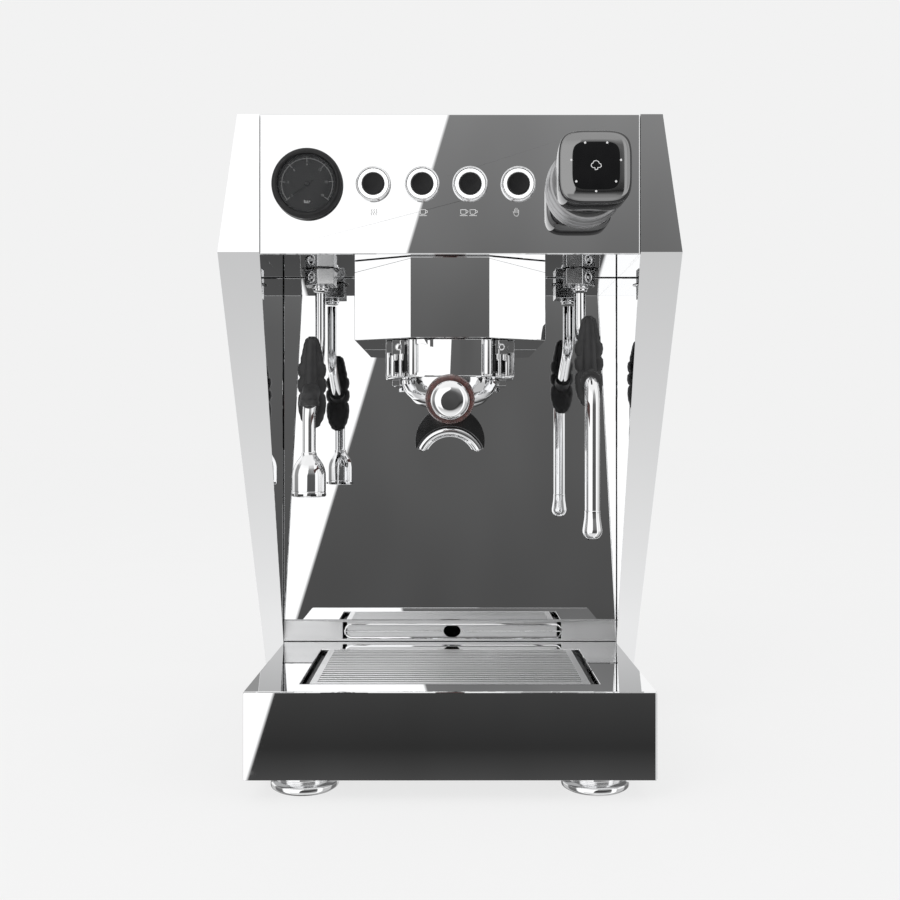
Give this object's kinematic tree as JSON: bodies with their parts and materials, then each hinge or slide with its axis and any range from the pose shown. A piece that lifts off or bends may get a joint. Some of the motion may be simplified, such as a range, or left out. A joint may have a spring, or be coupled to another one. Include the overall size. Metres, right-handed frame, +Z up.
{
  "type": "espresso machine",
  "caption": "Mirror steel espresso machine with a portafilter on a fixed group, a steam wand, a hot water wand, push buttons, a steam knob, a gauge, a drip tray and a rear water tank.",
  "frame": {"origin": "centre of the footprint on the surface that the feet stand on", "axes": "+Z up, +X to the right of a person facing the machine, the front faces -Y"},
  "size_m": [0.2958, 0.38, 0.4176],
  "materials": {
    "mirror_steel": "mirror-polished stainless steel sheet",
    "brushed_steel": "brushed stainless steel",
    "chrome": "polished chrome plate",
    "wood": "dark reddish-brown oiled hardwood, satin",
    "black_gloss": "glossy black plastic",
    "black_plastic": "matte black plastic",
    "silicone": "matte black silicone",
    "dial": "matte dark grey dial with a printed scale",
    "lens": "clear gauge glass",
    "brass": "machined brass",
    "copper": "copper tube",
    "board": "green circuit board",
    "tank": "smoky translucent plastic"
  },
  "bodies": {
    "body": {"side_panel_right": "mirror_steel", "side_panel_left": "mirror_steel", "inner_wall_right": "mirror_steel", "inner_wall_left": "mirror_steel", "base_chassis": "brushed_steel", "base_front_panel": "mirror_steel", "deck_plate": "mirror_steel", "foot_front_left": "chrome", "foot_front_right": "chrome", "foot_rear_left": "chrome", "foot_rear_right": "chrome", "splash_panel": "mirror_steel", "drain_strip": "brushed_steel", "fascia_panel": "mirror_steel", "head_floor": "mirror_steel", "top_cover": "brushed_steel", "rear_panel": "brushed_steel", "mains_inlet": "black_plastic", "group_hood": "mirror_steel", "group_body": "chrome", "group_gasket": "silicone", "shower_screen": "brushed_steel", "gauge_housing": "black_plastic", "gauge_dial": "dial", "gauge_lens": "lens", "knob_collar": "brushed_steel", "steam_valve": "brass", "boiler": "brass", "brew_pipe": "copper", "solenoid_valve": "black_plastic", "pump": "black_plastic", "control_board": "board", "button_bezel_1": "chrome", "button_bezel_2": "chrome", "button_bezel_3": "chrome", "button_bezel_4": "chrome"},
    "steam_knob": {"steam_knob": "black_gloss"},
    "needle": {"gauge_needle": "black_gloss"},
    "portafilter": {"portafilter_body": "chrome", "filter_basket": "brushed_steel", "portafilter_handle": "wood", "handle_end_cap": "chrome", "double_spout": "chrome"},
    "steam_wand": {"steam_swivel": "chrome", "steam_tube": "chrome", "steam_grip": "silicone", "steam_tip": "chrome"},
    "water_wand": {"water_swivel": "chrome", "water_tube": "chrome", "water_grip": "silicone", "water_nozzle": "chrome"},
    "drip_pan": {"drip_pan": "black_plastic"},
    "drip_grid": {"drip_grid": "brushed_steel"},
    "water_tank": {"water_tank": "tank"},
    "tank_lid": {"tank_lid": "brushed_steel"},
    "power_rocker": {"power_rocker": "black_gloss"},
    "button_1": {"button_cap_1": "black_gloss"},
    "button_2": {"button_cap_2": "black_gloss"},
    "button_3": {"button_cap_3": "black_gloss"},
    "button_4": {"button_cap_4": "black_gloss"}
  },
  "joints": [
    {"name": "steam_knob_turn", "type": "hinge", "parent": "body", "child": "steam_knob", "pos_m": [0.0856, -0.122, 0.3713], "axis": [0, 1, 0], "range_deg": [-270, 0]},
    {"name": "needle_turn", "type": "hinge", "parent": "body", "child": "needle", "pos_m": [-0.0905, -0.0949, 0.3728], "axis": [0, 1, 0], "range_deg": [0, 255]},
    {"name": "portafilter_turn", "type": "hinge", "parent": "body", "child": "portafilter", "pos_m": [0, -0.04, 0.255], "axis": [0, 0, 1], "range_deg": [-40, 0]},
    {"name": "steam_wand_swivel", "type": "hinge", "parent": "body", "child": "steam_wand", "pos_m": [0.09, -0.027, 0.322], "axis": [0, 0, 1], "range_deg": [-20, 10]},
    {"name": "water_wand_swivel", "type": "hinge", "parent": "body", "child": "water_wand", "pos_m": [-0.09, -0.027, 0.322], "axis": [0, 0, 1], "range_deg": [-10, 20]},
    {"name": "drip_pan_lift", "type": "slide", "parent": "body", "child": "drip_pan", "axis": [0, 0, 1], "range_m": [0, 0.045]},
    {"name": "drip_grid_lift", "type": "slide", "parent": "drip_pan", "child": "drip_grid", "axis": [0, 0, 1], "range_m": [0, 0.03]},
    {"name": "water_tank_lift", "type": "slide", "parent": "body", "child": "water_tank", "axis": [0, 0, 1], "range_m": [0, 0.3]},
    {"name": "tank_lid_hinge", "type": "hinge", "parent": "water_tank", "child": "tank_lid", "pos_m": [0, 0.1848, 0.4176], "axis": [1, 0, 0], "range_deg": [-100, 0]},
    {"name": "power_rocker_tilt", "type": "hinge", "parent": "body", "child": "power_rocker", "pos_m": [-0.096, 0.1824, 0.06325], "axis": [1, 0, 0], "range_deg": [0, 14]},
    {"name": "button_1_press", "type": "slide", "parent": "body", "child": "button_1", "axis": [0, 1, 0], "range_m": [0, 0.0015], "stiffness_N_per_m": 800},
    {"name": "button_2_press", "type": "slide", "parent": "body", "child": "button_2", "axis": [0, 1, 0], "range_m": [0, 0.0015], "stiffness_N_per_m": 800},
    {"name": "button_3_press", "type": "slide", "parent": "body", "child": "button_3", "axis": [0, 1, 0], "range_m": [0, 0.0015], "stiffness_N_per_m": 800},
    {"name": "button_4_press", "type": "slide", "parent": "body", "child": "button_4", "axis": [0, 1, 0], "range_m": [0, 0.0015], "stiffness_N_per_m": 800}
  ]
}
